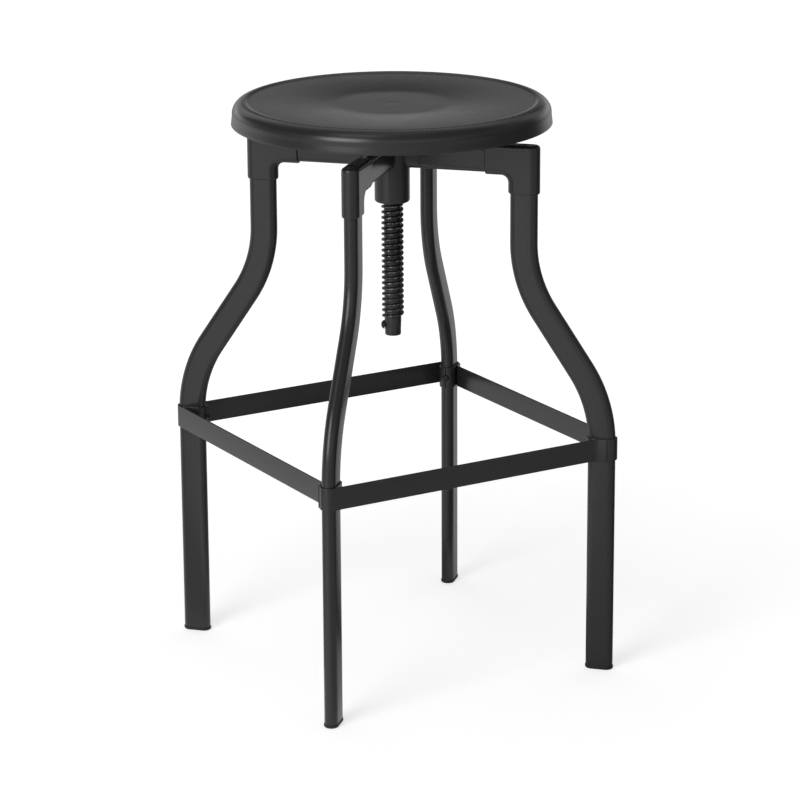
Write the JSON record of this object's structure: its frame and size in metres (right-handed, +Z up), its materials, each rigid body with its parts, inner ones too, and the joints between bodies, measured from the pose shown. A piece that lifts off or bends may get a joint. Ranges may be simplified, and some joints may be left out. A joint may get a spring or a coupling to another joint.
{
  "type": "bar stool",
  "caption": "Backless metal bar stool: a round pressed seat that turns up and down on a screw spindle, on curved flat-oval legs joined by a strap footrest.",
  "frame": {"origin": "on the floor, on the axis of the screw spindle", "axes": "+Z up along the spindle; the legs stand on the diagonals, so -Y is the side between the two front legs and +X is the side between the two right ones"},
  "size_m": [0.3774, 0.3774, 0.654],
  "materials": {
    "seat_coat": "satin black powder coat on pressed steel sheet",
    "bracket_coat": "satin black powder coat on steel",
    "spindle_black": "black, lightly oiled steel thread",
    "black_oxide": "blackened steel",
    "zinc_plate": "zinc-plated steel",
    "nylon": "natural nylon",
    "cast_coat": "satin black powder coat on cast iron",
    "tube_coat": "satin black powder coat on steel tube",
    "strap_coat": "satin black powder coat on steel strip",
    "foot_plastic": "moulded black plastic"
  },
  "bodies": {
    "frame": {"hub": "cast_coat", "arm_front_left": "tube_coat", "arm_front_right": "tube_coat", "arm_back_right": "tube_coat", "arm_back_left": "tube_coat", "elbow_front_left": "cast_coat", "elbow_front_right": "cast_coat", "elbow_back_right": "cast_coat", "elbow_back_left": "cast_coat", "leg_front_left": "tube_coat", "leg_front_right": "tube_coat", "leg_back_right": "tube_coat", "leg_back_left": "tube_coat", "leg_inserts": "zinc_plate", "leg_bolts": "black_oxide", "collar_front_left": "strap_coat", "collar_front_right": "strap_coat", "collar_back_right": "strap_coat", "collar_back_left": "strap_coat", "strap_front": "strap_coat", "strap_right": "strap_coat", "strap_back": "strap_coat", "strap_left": "strap_coat", "collar_screws": "black_oxide", "collar_nuts": "zinc_plate", "foot_front_left": "foot_plastic", "foot_front_right": "foot_plastic", "foot_back_right": "foot_plastic", "foot_back_left": "foot_plastic"},
    "carrier": {"thrust_washer": "nylon"},
    "seat": {"seat_pan": "seat_coat", "seat_bracket": "bracket_coat", "seat_weld_nuts": "zinc_plate", "seat_screws": "black_oxide", "spindle_flange": "bracket_coat", "spindle": "spindle_black", "stop_screw": "black_oxide"}
  },
  "joints": [
    {"name": "seat_rise", "type": "slide", "parent": "frame", "child": "carrier", "axis": [0, 0, 1], "range_m": [0, 0.13653]},
    {"name": "seat_turn", "type": "hinge", "parent": "carrier", "child": "seat", "pos_m": [0, 0, 0.6], "axis": [0, 0, 1], "range_deg": [0, 7740]}
  ],
  "couplings": [
    {"joint": "seat_rise", "follows": "seat_turn", "m_per_rad": 0.0010106}
  ]
}
